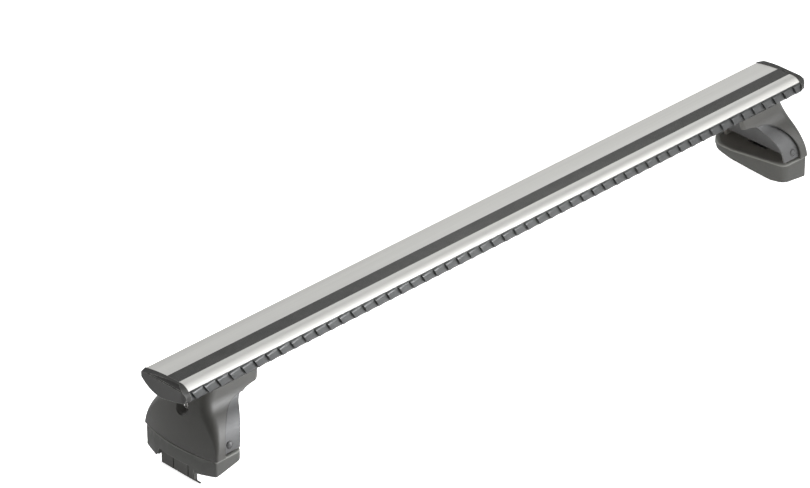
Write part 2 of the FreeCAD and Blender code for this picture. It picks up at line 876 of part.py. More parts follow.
def foot_tower():
    """The tower: side walls, cross panel, saddle plate, ribs, and the lug that carries the clamp bolt."""
    wall = size("foot_wall")
    inset = size("tower_inset")
    bottom = size("tower_bottom_level") - wall
    long = 2 * size("mouth_top_reach")
    inside = bell(inset + wall, bottom - wall, -wall, long + wall)
    walls = bell(inset, bottom, 0, long).cut(inside).common(side_prism(tower_wall_region()))
    tower = walls.fuse(tower_plates() + [bolt_lug()])
    direction = bolt_axis()[0]
    half_hole = 3 * size("lug_thickness")
    bolt_hole = Part.makeCylinder(size("bolt_radius") + size("bolt_hole_play"), 2 * half_hole,
                                  bolt_seat() - direction * half_hole, direction)
    cuts = [bar_keep_out(size("saddle_play")), bolt_hole] + lock_openings() + pivot_cuts()
    for reach in screw_reaches():
        place = Vector(reach, 0, 2 * size("saddle_plate_level"))
        cuts.append(Part.makeCylinder(size("screw_radius") + size("saddle_play"), AMPLE, place, AXIS_Z))
    return tower.cut(cuts).removeSplitter()


# The rubber pad and its carrier

def pad_corners(inset):
    """Top view of the pad: corners with their rounding, set in by a distance."""
    front = size("pad_front_position") + inset
    rear = size("pad_rear_position") - inset
    inner_front = size("pad_inner_front") - inset
    inner_rear = size("pad_inner_rear") - inset
    return [
        (size("pad_outer_front") + inset, front, size("pad_toe_rounding")),
        (inner_front, front, size("pad_ball_rounding")),
        (inner_rear, size("pad_waist_position"), size("pad_waist_rounding")),
        (inner_rear, size("pad_heel_position") - inset / 2, size("pad_heel_rounding")),
        (inner_rear - size("pad_heel_cut"), rear, size("pad_tail_rounding")),
        (size("pad_outer_rear") + inset, rear, size("pad_corner_rounding")),
    ]


def rounded_outline(corners, bulge):
    """A closed outline with rounded corners, whose last side bows out through a point."""
    count = len(corners)
    arcs = []
    for index, (x, y, rounding) in enumerate(corners):
        here = Vector(x, y, 0)
        before = Vector(corners[index - 1][0], corners[index - 1][1], 0) - here
        after = Vector(corners[(index + 1) % count][0], corners[(index + 1) % count][1], 0) - here
        before.normalize()
        after.normalize()
        half = before.getAngle(after) / 2
        cut = rounding / math.tan(half)
        middle = before + after
        middle.normalize()
        centre = here + middle * (rounding / math.sin(half))
        arcs.append((here + before * cut, centre - middle * rounding, here + after * cut))
    edges = []
    for index, (start, via, end) in enumerate(arcs):
        edges.append(Part.Arc(start, via, end).toShape())
        following = arcs[(index + 1) % count][0]
        if index == count - 1:
            edges.append(Part.Arc(end, bulge, following).toShape())
        else:
            edges.append(Part.LineSegment(end, following).toShape())
    return Part.Wire(edges)


def pad_prism(inset, low, high):
    """The pad's top view swept between two levels."""
    bulge = Vector(size("pad_outer_bulge") + inset, 0, 0)
    wire = rounded_outline(pad_corners(inset), bulge)
    return prism(wire, AXIS_Z * (high - low), AXIS_Z * low)


def pad_underside(side):
    """The space below a pad: its top is the twisted surface that follows the roof."""
    outer = size("pad_outer_rear")
    inner = size("pad_inner_rear")
    margin = size("pad_toe_rounding")

    def station(y, name):
        outer_depth = size(f"{side}_pad_outer_{name}")
        slope = (size(f"{side}_pad_inner_{name}") - outer_depth) / (inner - outer)
        low = (-margin, -outer_depth + (outer + margin) * slope)
        high = (inner + margin, -outer_depth - (inner + margin - outer) * slope)
        corners = [low, high, (high[0], -2 * AMPLE), (low[0], -2 * AMPLE), low]
        return Part.makePolygon([Vector(x, y, z) for x, z in corners])

    stations = [
        station(size("pad_front_position") - margin, "front"),
        station(size("pad_ball_position"), "ball"),
        station(size("pad_knee_position"), "knee"),
        station(size("pad_rear_position") + margin, "rear"),
    ]
    return Part.makeLoft(stations, True, True)


def clamp_well(low, high):
    """The upright opening in the pad and its carrier for the clamp's neck, flange and bolt."""
    centre = size("clamp_position")
    half = size("clamp_neck_width") / 2 + size("well_play")
    outer = size("clamp_reach") - size("guard_thickness") - size("guard_play")
    return block((outer, centre - half, low), (size("clamp_reach") + size("well_length"), centre + half, high))


def foot_pad(side):
    """The rubber pad: rounded rim, seat for the carrier, clamp pocket, and the window of the clamp."""
    top = size("pad_top_level")
    carrier_floor = size("carrier_top_level") - size("carrier_thickness")
    pad = pad_prism(0, -AMPLE, top)
    rim = [edge for edge in pad.Edges if edge.BoundBox.ZMin > top - 0.01]
    pad = pad.makeFillet(size("pad_rim_rounding"), rim)
    seat = pad_prism(size("carrier_inset") - size("hole_play"), carrier_floor, top + AMPLE)
    centre = size("clamp_position")
    half = size("clamp_width") / 2 + size("pocket_play")
    outer = size("clamp_reach") - size("guard_thickness") - size("guard_play")
    inner = size("clamp_reach") + size("clamp_steel") + size("pocket_depth")
    pocket = block((outer, centre - half, -AMPLE), (inner, centre + half, carrier_floor - size("flange_drop")))
    window_top = size("window_top_level")
    rear = centre + half
    front = centre - half - size("window_front_play")
    corner = size("window_corner")
    slope = size("window_rear_drop")
    window = prism(closed_wire([
        (rear - 2 * corner, window_top),
        (rear + corner, window_top - slope),
        (rear + corner, -2 * AMPLE),
        (front, -2 * AMPLE),
        (front, window_top - corner),
        (front + corner, window_top),
    ], across), AXIS_X * (outer + size("hole_play")))
    well = clamp_well(-AMPLE, top + AMPLE)
    return pad.cut([pad_underside(side), seat, pocket, well, window]).removeSplitter()


def pad_carrier():
    """The rigid plate in the top of the pad, with two ears that turn on the pivot pins."""
    top = size("carrier_top_level")
    floor = top - size("carrier_thickness")
    reach = size("pivot_reach")
    level = size("pivot_level")
    half = size("ear_width") / 2
    outline = closed_wire([
        (reach - half, floor),
        (reach + half, floor),
        (reach + half, level),
        ((reach, level + half), (reach - half, level)),
    ], sideways)
    ears = []
    bores = []
    for side in (-1, 1):
        low, high = sorted((side * (ear_position() - size("ear_thickness")), side * ear_position()))
        ears.append(prism(outline, AXIS_Y * (high - low), AXIS_Y * low))
        bores.append(Part.makeCylinder(size("pivot_radius") + size("hole_play"), AMPLE, Vector(reach, 0, level),
                                       AXIS_Y * side))
    plate = pad_prism(size("carrier_inset"), floor, top).cut(clamp_well(-AMPLE, AMPLE))
    return plate.fuse(ears).cut(bores).removeSplitter()


# The clamp

def hook_plate():
    """The steel clamp: flange for the bolt, neck, wide plate, and the lip that grips the roof edge."""
    fall = math.tan(math.radians(size("bolt_tilt")))
    direction, flange_point = bolt_axis()
    reach = size("clamp_reach")
    steel = size("clamp_steel")
    back = reach + steel
    flange_end = reach + size("clamp_flange")
    bottom = -size("datum_height")
    lip_end = back + size("clamp_lip")
    lip_top = bottom + size("clamp_lip_rise")
    floor = bottom + steel * 0.8
    half = size("clamp_width") / 2
    neck = size("clamp_neck_width") / 2
    lip_half = size("clamp_lip_width") / 2
    centre = size("clamp_position")
    shoulder = size("clamp_shoulder_level")

    def flange_top(x):
        return flange_point.z - (x - size("bolt_reach")) * fall

    profile = closed_wire([
        (reach, bottom),
        (lip_end, bottom),
        (lip_end, lip_top),
        (lip_end - steel / 2, lip_top),
        (lip_end - steel * 2 / 3, floor),
        (back, floor),
        (back, flange_top(back) - steel),
        (flange_end, flange_top(flange_end) - steel),
        (flange_end, flange_top(flange_end)),
        (back, flange_top(back)),
        (reach, flange_top(back)),
    ], sideways)
    plate = prism(profile, AXIS_Y * (2 * half), AXIS_Y * (centre - half))
    cuts = [Part.makeCylinder(size("bolt_radius") + size("bolt_hole_play"), AMPLE,
                              flange_point - direction * (AMPLE / 2), direction)]
    for side in (-1, 1):
        low, high = sorted((side * neck, side * 2 * half))
        cuts.append(block((0, centre + low, shoulder), (AMPLE, centre + high, 0)))
        low, high = sorted((side * lip_half, side * 2 * half))
        cuts.append(block((back, centre + low, bottom - steel), (AMPLE, centre + high, shoulder)))
    toe = block((reach, centre - half - size("clamp_toe_length"), bottom),
                (reach + size("clamp_toe_depth"), centre - half, bottom + size("clamp_toe_thickness")))
    return plate.cut(cuts).fuse(toe).removeSplitter()


def clamp_guard():
    """The moulded guard on the outside of the clamp, with two upright grooves."""
    thick = size("guard_thickness")
    face = size("clamp_reach") - thick
    centre = size("clamp_position")
    half = size("clamp_width") / 2
    neck = size("clamp_neck_width") / 2
    bottom = -size("datum_height") + size("guard_foot_gap")
    top = size("guard_top_level")
    shoulder = size("clamp_shoulder_level")
    guard = block((face, centre - half, bottom), (size("clamp_reach"), centre + half, top))
    outside = [edge for edge in guard.Edges if abs(edge.BoundBox.XMax - face) < 0.01]
    guard = guard.makeFillet(size("guard_rounding"), outside)
    groove = size("guard_groove") / 2
    cuts = []
    for position in (size("guard_front_groove"), size("guard_rear_groove")):
        cuts.append(block((0, position - groove, bottom - thick), (face + thick * 0.4, position + groove, top + thick)))
    for side in (-1, 1):
        low, high = sorted((side * neck, side * 2 * half))
        cuts.append(block((0, centre + low, shoulder), (AMPLE, centre + high, 0)))
    return guard.cut(cuts).removeSplitter()


# Hardware from bound primitives, each drawn upright at its own origin

HOLE_LENGTH = "(4 * sizes.bolt_length)"
TILT = "(sizes.bolt_tilt * 1deg)"
FLANGE_LEVEL = "(sizes.carrier_top_level - sizes.carrier_thickness - sizes.flange_drop)"
SEAT_RISE = f"((sizes.bolt_seat_level - {FLANGE_LEVEL}) / cos({TILT}))"
LIP_TOP = "(sizes.belly_level + sizes.bottom_slot_lip)"
CAM_START = "(sizes.panel_reach + sizes.panel_thickness + sizes.running_play)"
DOME_RADIUS = "((sizes.pivot_head_radius ^ 2 + sizes.pivot_head_proud ^ 2) / (2 * sizes.pivot_head_proud))"


def primitive(kind, name, turn=Rotation(), **expressions):
    """A Part primitive with its sizes and its place bound to the sheet."""
    item = doc.addObject("Part::" + kind, name)
    item.Placement = Placement(Vector(), turn)
    bind(item, **expressions)
    return item


def upright_hole(name, radius, **place):
    """A long upright cylinder for cutting a hole. Its middle lies at its own origin."""
    return primitive("Cylinder", name, Radius=radius, Height=HOLE_LENGTH,
                     Placement__Base__z=f"-{HOLE_LENGTH} / 2", **place)


def hexagon(name, flats, height, base):
    """A hexagonal prism by its width across flats, with two flats square to the bar."""
    flats_to_x = Rotation(AXIS_Z, 30)
    item = primitive("Prism", name, flats_to_x, Circumradius=f"{flats} / sqrt(3)", Height=height,
                     Placement__Base__z=base)
    item.Polygon = 6
    return item


def fused(name, parts):
    """Primitives joined into one solid."""
    item = doc.addObject("Part::MultiFuse", name)
    item.Shapes = parts
    item.Refine = True
    return item


def holed(name, base, tool):
    """A solid with another cut out of it."""
    item = doc.addObject("Part::Cut", name)
    item.Base = base
    item.Tool = tool
    item.Refine = True
    item.Label = name
    return item


def set_on_bolt_line(item, rise):
    """Stands a piece on the clamp bolt's line, a distance above the clamp's flange."""
    item.Placement = Placement(Vector(), Rotation(AXIS_Y, size("bolt_tilt")))
    bind(item,
         Placement__Base__x=f"-sizes.bar_length / 2 + sizes.bolt_reach + {rise} * sin({TILT})",
         Placement__Base__y="sizes.clamp_position",
         Placement__Base__z=f"sizes.datum_height + {FLANGE_LEVEL} + {rise} * cos({TILT})")
    return item


def clamp_bolt():
    """The socket head bolt that pulls the clamp up and in."""
    shank = primitive("Cylinder", "bolt_shank", Radius="sizes.bolt_radius", Height="sizes.bolt_length",
                      Placement__Base__z="-sizes.bolt_length")
    head = primitive("Cylinder", "bolt_head", Radius="sizes.bolt_head_radius", Height="sizes.bolt_head_height")
    key = hexagon("bolt_socket", "sizes.bolt_key", "sizes.bolt_head_height", "sizes.bolt_head_height / 2")
    bolt = holed("left_clamp_bolt", fused("bolt_blank", [shank, head]), key)
    return set_on_bolt_line(bolt, f"({SEAT_RISE} + sizes.washer_thickness)")


def bolt_washer():
    """The washer between the bolt head and the tower's lug."""
    disc = primitive("Cylinder", "washer_disc", Radius="sizes.washer_radius", Height="sizes.washer_thickness")
    hole = upright_hole("washer_hole", "sizes.bolt_radius + sizes.hole_play")
    return set_on_bolt_line(holed("left_bolt_washer", disc, hole), SEAT_RISE)


def clamp_nut():
    """The hexagon nut held under the clamp's flange."""
    blank = hexagon("nut_blank", "sizes.nut_flats", "sizes.nut_height", "0")
    hole = upright_hole("nut_hole", "sizes.bolt_radius + sizes.hole_play")
    drop = f"(-sizes.clamp_steel * cos({TILT}) - sizes.nut_height)"
    return set_on_bolt_line(holed("left_clamp_nut", blank, hole), drop)


def slot_nut():
    """The nut plate that runs in the bar's bottom slot."""
    width = "(sizes.bottom_slot_chamber - 2 * sizes.slot_nut_play)"
    plate = primitive("Box", "slot_nut_plate", Length="sizes.slot_nut_length", Width=width,
                      Height="sizes.slot_nut_thickness", Placement__Base__x="-sizes.slot_nut_length / 2",
                      Placement__Base__y=f"-{width} / 2")
    radius = "sizes.screw_radius + sizes.hole_play"
    holes = [upright_hole("slot_nut_hole", radius, Placement__Base__x=f"{side} * sizes.screw_pitch / 2")
             for side in (-1, 1)]
    nut = holed("left_slot_nut", plate, fused("slot_nut_holes", holes))
    bind(nut,
         Placement__Base__x="-sizes.bar_length / 2 + sizes.slot_nut_reach",
         Placement__Base__z=f"sizes.datum_height + {LIP_TOP} + sizes.slot_nut_lift")
    return nut


def tower_screws():
    """Two screws from below, through the saddle plate into the slot nut."""
    screws = []
    for side in (-1, 1):
        shank = primitive("Cylinder", "screw_shank", Radius="sizes.screw_radius",
                          Height=f"{LIP_TOP} + sizes.slot_nut_thickness - sizes.saddle_plate_level")
        head = primitive("Cylinder", "screw_head", Radius="sizes.screw_head_radius",
                         Height="sizes.screw_head_height", Placement__Base__z="-sizes.screw_head_height")
        key = hexagon("screw_socket", "sizes.screw_key", "sizes.screw_head_height / 2", "-sizes.screw_head_height")
        screw = holed("tower_screw", fused("screw_blank", [shank, head]), key)
        bind(screw, Placement__Base__x=f"{side} * sizes.screw_pitch / 2")
        screws.append(screw)
    pair = doc.addObject("Part::Compound", "left_tower_screws")
    pair.Links = screws
    bind(pair,
         Placement__Base__x="-sizes.bar_length / 2 + sizes.slot_nut_reach",
         Placement__Base__z="sizes.datum_height + sizes.saddle_plate_level")
    return pair


def pivot_pins():
    """Two domed pins that hang the carrier between the tower's side walls."""
    seat = pivot_seat()
    inner = ear_position() - size("ear_thickness") - size("running_play")
    pins = []
    for side in (-1, 1):
        shank = primitive("Cylinder", "pin_shank", Radius="sizes.pivot_radius")
        shank.Height = seat - inner
        shank.Placement.Base = Vector(0, 0, inner - seat)
        stack = primitive("Cylinder", "pin_head", Radius="sizes.pivot_head_radius",
                          Height="sizes.pivot_collar + sizes.pivot_head_proud")
        ball = primitive("Sphere", "pin_ball", Radius=DOME_RADIUS,
                         Placement__Base__z=f"sizes.pivot_collar + sizes.pivot_head_proud - {DOME_RADIUS}")
        dome = doc.addObject("Part::MultiCommon", "pin_dome")
        dome.Shapes = [stack, ball]
        pin = fused("pivot_pin", [shank, dome])
        pin.Placement = Placement(Vector(0, side * seat, 0), Rotation(AXIS_Z, AXIS_Y * side))
        pins.append(pin)
    pair = doc.addObject("Part::Compound", "left_pivot_pins")
    pair.Links = pins
    bind(pair,
         Placement__Base__x="-sizes.bar_length / 2 + sizes.pivot_reach",
         Placement__Base__z="sizes.datum_height + sizes.pivot_level")
    return pair


def set_on_lock_line(item, reach):
    """Lays a piece on the lock's line, a distance from the end of the metal."""
    item.Placement = Placement(Vector(), ALONG_BAR)
    bind(item,
         Placement__Base__x=f"-sizes.bar_length / 2 + {reach}",
         Placement__Base__z="sizes.datum_height + sizes.lock_level")
    return item


def lock_cylinder():
    """The lock barrel with a bevelled head and a keyway."""
    rim = primitive("Cone", "lock_rim", Radius1="sizes.lock_radius - sizes.lock_bevel", Radius2="sizes.lock_radius",
                    Height="sizes.lock_bevel")
    barrel = primitive("Cylinder", "lock_barrel", Radius="sizes.lock_radius",
                       Height=f"{CAM_START} - sizes.lock_head_reach - sizes.lock_bevel",
                       Placement__Base__z="sizes.lock_bevel")
    keyway = primitive("Box", "keyway", Length="1.2 * sizes.lock_radius", Width="sizes.keyway_width",
                       Height="sizes.keyway_depth", Placement__Base__x="-0.6 * sizes.lock_radius",
                       Placement__Base__y="-sizes.keyway_width / 2")
    lock = holed("left_lock_cylinder", fused("lock_blank", [rim, barrel]), keyway)
    return set_on_lock_line(lock, "sizes.lock_head_reach")


def lock_cam():
    """The tongue on the end of the barrel that turns behind the panel."""
    hub = primitive("Cylinder", "cam_hub", Radius="sizes.lock_radius", Height="sizes.cam_thickness")
    tongue = primitive("Box", "cam_tongue", Length="sizes.cam_length", Width="sizes.cam_width",
                       Height="sizes.cam_thickness", Placement__Base__y="-sizes.cam_width / 2")
    return set_on_lock_line(fused("left_lock_cam", [hub, tongue]), CAM_START)


# Placing the pieces

def moulding(label, shape):
    """A free-form piece of the left foot, moved to the left end of the bar and up to its height."""
    item = doc.addObject("Part::Feature", label)
    item.Shape = shape
    item.Label = label
    bind(item, Placement__Base__x="-sizes.bar_length / 2", Placement__Base__z="sizes.datum_height")
    return item


def mirror_right(label, source):
    """The right-hand piece is the left-hand one mirrored about the middle of the bar."""
    item = doc.addObject("Part::Mirroring", label)
    item.Source = source
    item.Normal = AXIS_X
    item.Label = label
    return item


def build():
    """Makes every piece and returns the ones to write."""
    notched = doc.addObject("Part::Feature", "notched_strip")
    notched.Shape = nose_strip()
    bind(notched, Placement__Base__z="sizes.datum_height")
    pieces = [
        extruded_section("bar_profile", bar_section()),
        extruded_section("top_strip", strip_section()),
        notched,
    ]
    left_pieces = [
        moulding("left_end_cap", end_cap()),
        moulding("left_foot_tower", foot_tower()),
        moulding("left_foot_cover", foot_cover()),
        moulding("left_pad_carrier", pad_carrier()),
        moulding("left_clamp_hook", hook_plate()),
        moulding("left_clamp_guard", clamp_guard()),
        pivot_pins(),
        clamp_nut(),
        clamp_bolt(),
        bolt_washer(),
        slot_nut(),
        tower_screws(),
        lock_cylinder(),
        lock_cam(),
    ]
    for left in left_pieces:
        pieces.append(left)
        pieces.append(mirror_right(left.Label.replace("left_", "right_"), left))
    pieces.append(moulding("left_foot_pad", foot_pad("left")))
    pieces.append(mirror_right("right_foot_pad", moulding("right_pad_source", foot_pad("right"))))
    return pieces


def check(pieces):
    """Stops if any object failed or any piece is empty or not valid."""
    faults = []
    for item in doc.Objects:
        if "Invalid" in item.State or "Error" in item.State:
            faults.append(f"{item.Label} did not compute: {item.State}")
    for item in pieces:
        shape = item.Shape
        if shape.isNull() or not shape.isValid() or not shape.Solids:
            faults.append(f"{item.Label} has no valid solid")
    if faults:
        raise RuntimeError("; ".join(faults))


def write(pieces):
    """Writes each piece to its own file."""
    os.makedirs("parts", exist_ok=True)
    for item in pieces:
        shape = item.Shape
        shape.exportStep(os.path.join("parts", item.Label + ".step"))
        print(f"{item.Label}: {len(shape.Solids)} solid(s), {shape.Volume / 1000:.2f} cm3")


pieces = build()
doc.recompute()
check(pieces)
write(pieces)
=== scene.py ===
import json
import math

import bpy
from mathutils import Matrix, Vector


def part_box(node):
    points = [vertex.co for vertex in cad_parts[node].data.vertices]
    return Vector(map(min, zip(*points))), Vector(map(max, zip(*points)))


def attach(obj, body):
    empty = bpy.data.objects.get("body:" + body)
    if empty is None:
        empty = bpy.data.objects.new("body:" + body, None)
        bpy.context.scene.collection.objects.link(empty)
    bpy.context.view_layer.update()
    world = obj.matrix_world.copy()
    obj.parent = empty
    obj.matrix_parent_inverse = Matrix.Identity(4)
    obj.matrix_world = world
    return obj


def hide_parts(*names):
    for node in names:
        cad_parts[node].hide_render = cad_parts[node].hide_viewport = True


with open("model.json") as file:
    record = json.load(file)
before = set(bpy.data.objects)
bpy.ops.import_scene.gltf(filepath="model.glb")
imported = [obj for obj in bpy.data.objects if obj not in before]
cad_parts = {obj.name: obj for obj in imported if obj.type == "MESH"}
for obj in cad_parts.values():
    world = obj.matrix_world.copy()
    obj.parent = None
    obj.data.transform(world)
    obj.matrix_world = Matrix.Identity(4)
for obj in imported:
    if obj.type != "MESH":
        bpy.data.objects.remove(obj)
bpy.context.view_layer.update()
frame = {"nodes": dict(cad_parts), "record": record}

NODES = frame["nodes"]
SLOTS = {entry["node"]: entry["material_slot"] for entry in frame["record"]["subparts"]}
SIDES = ("left", "right")
MM = 0.001

# Camera, at the photograph's viewing angle
CAMERA_PLACE = Vector((-3.8224, -3.7376, 3.2633))
CAMERA_DIP = 30.62
CAMERA_HEADING = -44.49
CAMERA_TURN = (math.radians(90 - CAMERA_DIP), 0.0, math.radians(CAMERA_HEADING))
CAMERA_LENS = 221.35
SENSOR_WIDTH = 36.0
CAMERA_REACH = 50.0

# Colours of the object, as linear values
SILVER = (0.60, 0.595, 0.57)
STRIP_BLACK = (0.050, 0.050, 0.048)
NOTCH_BLACK = (0.021, 0.022, 0.022)
COVER_BLACK = (0.031, 0.030, 0.027)
TOWER_BLACK = (0.042, 0.042, 0.042)
CARRIER_GREY = (0.085, 0.080, 0.072)
CAP_BLACK = (0.020, 0.0195, 0.018)
PAD_BLACK = (0.036, 0.036, 0.033)
GUARD_BLACK = (0.033, 0.032, 0.029)
COAT_BLACK = (0.022, 0.022, 0.022)
ZINC = (0.55, 0.55, 0.54)
NICKEL = (0.68, 0.67, 0.65)
# Pale tone of edge wear, also the painted highlight on the cap's ridge, the pads' rims and faces that look up
PALE_WEAR_AND_HIGHLIGHT = (0.13, 0.13, 0.12)

# The parts of a noise, or of the openness of a gap, that a mask is spread over
NOISE_WIDE = (0.3, 0.7)
NOISE_NARROW = (0.35, 0.65)
OPENNESS = (0.75, 0.25)

# Edge wear and painted light: how far the surface has to bend at an edge to show wear, which on the cap's
# ridge and the pads' rims is a painted highlight, as cosines, the painted shade of narrow gaps, and how far a
# face has to look up to take a painted highlight of light from above
RUB_AND_HIGHLIGHT_START = 0.998
RUB_AND_HIGHLIGHT_FULL = 0.90
RUB_AND_HIGHLIGHT_REACH = 0.7 * MM
RUB_AND_HIGHLIGHT_SAMPLES = 6
GAP_REACH = 3.5 * MM
GAP_SHADE = 0.25
GAP_SAMPLES = 8
TOP_HIGHLIGHT_SLOPE = (0.03, 0.5)

# Grain: finer grain and flecks against the main grain, and the cells' share of its height
FINE_RATIO = 1.7
FLECK_RATIO = 0.35
CELL_SHARE = 0.6

# Bar: repeats per metre of the drawn lines and the speckle, and how they change colour and gloss
LINES_ALONG = 2.2
LINES_ACROSS = 1100.0
BROAD_BANDS = (0.6, 0.09, 0.09)
SPECKLE_SCALE = 2600.0
SPECKLE_AMOUNT = 0.35
SPECKLE_HEIGHT = 0.3
SPECKLE_SHADE = 0.86
BAND_SHADES = (0.95, 1.04)
BARE_SHADE = 1.25
BAR_ROUGHNESS = (0.36, 0.48)
BAR_BUMP = 0.16
BAR_DEPTH = 0.08 * MM

# Mouldings: how the mottle and the flecks change colour and gloss
MOTTLE_SHADES = (0.88, 1.12)
FLECK_AMOUNT = 0.25
FLECK_SHADE = 1.35
MOULDED_GLOSS = (-0.04, 0.05)
MOULDED_SHINE = 0.3
MOULDED_BUMP = 0.5

# Plated steel: the same
PLATED_SHADES = (0.85, 1.08)
RUBBED_SHADE = 1.3
PLATED_GLOSS = (-0.06, 0.08)
PLATED_BUMP = 0.2

# The round part line between cover and tower, from the middle of the bar, and the width of its painted shade
LINE_REACH = 455.5 * MM
LINE_LEVEL = 46.5 * MM
LINE_RADIUS = 56.4 * MM
LINE_WIDTH = 2.6 * MM

# Pads: the merging of the loose triangles, and the soft edges
TOUCHING = 0.01 * MM
FLAT_ANGLE = math.radians(1.5)
PAD_EDGE = 1.1 * MM
PAD_CORNER = 38.0
DOUBLED = 0.004 * MM

# Nose strip: one tooth every pitch, with leaning ends, and the backing and stem that carry the teeth
TOOTH_PITCH = 20.0 * MM
TOOTH_START = 6.85 * MM
TOOTH_LEAN = math.radians(30.0)
TOOTH_GAP = 0.5 * MM
TOOTH_INSET = 0.05 * MM
TOOTH_ROOT = 1.0 * MM
TOOTH_CORNER = 4.0 * MM
TOOTH_CORNER_STEPS = 5
TOOTH_LIP = 1.3 * MM
TOOTH_LIP_STEPS = 3
TOOTH_LIP_CORNER = 50.0
TOOTH_TAIL_DEPTH = 0.28
TOOTH_TAIL_HEIGHT = 0.92
TOOTH_HEAD_HEIGHT = 0.95
NOSE_PLANE = -32.3 * MM
BACKING_FRONT = 0.9 * MM
BACKING_BACK = 0.2 * MM
BACKING_FOOT = 0.1 * MM
BACKING_HEAD = 0.3 * MM
BACKING_EDGE = 0.2 * MM
STEM_HALF = 2.8 * MM
STEM_EDGE = 0.4 * MM
STRIP_SMOOTH = 28.0

# Top strip: shallow ribs along it
RIB_COUNT = 9
RIB_HEIGHT = 0.35 * MM
RIB_WIDTH = 1.1 * MM
RIB_EDGE = 0.25 * MM
STRIP_EDGE = 0.3 * MM

# The bright ring round each lock
RING_INSET = 0.5 * MM
RING_THICKNESS = 0.45 * MM
RING_STEPS = 48
RING_TUBE_STEPS = 10

# Floor, room and lights
FLOOR_SIZE = 14.0
FLOOR_LEVEL = -0.4 * MM
FLOOR_WHITE = (0.86, 0.86, 0.86, 1.0)
FLOOR_GLOW = 0.8
ROOM_TINT = (0.98, 0.99, 1.0, 1.0)
ROOM_GLOW = 0.37
WHITE = (1.0, 1.0, 1.0)
COOL = (0.97, 0.98, 1.0)
WARM = (1.0, 0.98, 0.95)
MIDDLE = (0.0, 0.0, 0.05)
NEAR_FOOT = (-0.5, 0.0, 0.08)
FAR_FOOT = (0.5, 0.0, 0.03)

# Each light's name, place, target, width, height, power, colour and beam in degrees
LIGHTS = (
    ("nose_side_light", (3.2, -5.6, 1.5), MIDDLE, 3.6, 1.6, 360.0, COOL, 180.0),
    ("near_foot_light", (0.5, -1.3, 0.45), NEAR_FOOT, 0.9, 0.5, 6.6, COOL, 68.0),
    ("far_foot_fill", (-0.4, -0.5, 0.3), FAR_FOOT, 0.5, 0.3, 0.9, WARM, 60.0),
    ("back_panel", (2.6, 2.6, 2.1), MIDDLE, 3.0, 2.4, 18.0, WHITE, 180.0),
    ("end_panel", (2.9, -1.2, 2.4), MIDDLE, 3.2, 2.2, 23.0, WHITE, 180.0),
    ("rear_fill", (-1.2, 3.6, 0.9), MIDDLE, 2.6, 1.4, 45.0, WHITE, 180.0),
    ("top_light", (0.2, -0.4, 3.2), MIDDLE, 2.5, 2.5, 30.0, WHITE, 180.0),
)


# Small steps in making shaders

def new_group(name, inputs, outputs):
    """A shader group that takes and gives values, with its inlets and outlets."""
    tree = bpy.data.node_groups.new(name, "ShaderNodeTree")
    for label, value in inputs.items():
        socket = tree.interface.new_socket(name=label, in_out="INPUT", socket_type="NodeSocketFloat")
        socket.default_value = value
    for label in outputs:
        tree.interface.new_socket(name=label, in_out="OUTPUT", socket_type="NodeSocketFloat")
    return tree, tree.nodes.new("NodeGroupInput").outputs, tree.nodes.new("NodeGroupOutput").inputs


def put(tree, kind, inputs=None, **settings):
    """Adds a node. An input is a number, a colour or another node's output socket."""
    made = tree.nodes.new(kind)
    for name, value in settings.items():
        setattr(made, name, value)
    for key, value in (inputs or {}).items():
        if isinstance(value, bpy.types.NodeSocket):
            tree.links.new(value, made.inputs[key])
        else:
            made.inputs[key].default_value = value
    return made


def shared(tree, group, **inputs):
    """Puts a shader group to use, and gives its output sockets."""
    return put(tree, "ShaderNodeGroup", inputs, node_tree=group).outputs


def mix_colour(tree, factor, first, second):
    """The mix of two colours by a factor, as an output socket."""
    inputs = {0: factor, 6: first, 7: second}
    return put(tree, "ShaderNodeMix", inputs, data_type="RGBA").outputs[2]


def maths(tree, operation, first, second=0.0, clamp=False):
    """One calculation on values, as an output socket."""
    made = put(tree, "ShaderNodeMath", {0: first, 1: second}, operation=operation, use_clamp=clamp)
    return made.outputs[0]


def vectors(tree, operation, first, second):
    """One calculation on vectors, as the node's output sockets."""
    return put(tree, "ShaderNodeVectorMath", {0: first, 1: second}, operation=operation).outputs


def product(tree, first, second):
    """Two values multiplied, as an output socket."""
    return maths(tree, "MULTIPLY", first, second)


def positive(tree, value):
    """One where a value is above zero, and zero elsewhere, as an output socket."""
    return maths(tree, "GREATER_THAN", value, 0.0)


def spread(tree, value, low, high, to_low=0.0, to_high=1.0):
    """A value carried from one range to another, as an output socket."""
    made = put(tree, "ShaderNodeMapRange", {0: value, 1: low, 2: high, 3: to_low, 4: to_high})
    return made.outputs[0]


def noise(tree, where, scale, detail, roughness=0.55):
    """A noise value over places, as an output socket."""
    inputs = {"Vector": where, "Scale": scale, "Detail": detail, "Roughness": roughness}
    return put(tree, "ShaderNodeTexNoise", inputs).outputs[0]


def own_place(tree):
    """Places on the object itself, as an output socket."""
    return put(tree, "ShaderNodeTexCoord").outputs["Object"]


def surface_normal(tree):
    """The surface's normal, as an output socket."""
    return put(tree, "ShaderNodeNewGeometry").outputs["Normal"]


def parts_of(tree, vector):
    """A vector taken apart, as the sockets X, Y and Z."""
    return put(tree, "ShaderNodeSeparateXYZ", {0: vector}).outputs


# Shader groups. Each puts out masks and values only.

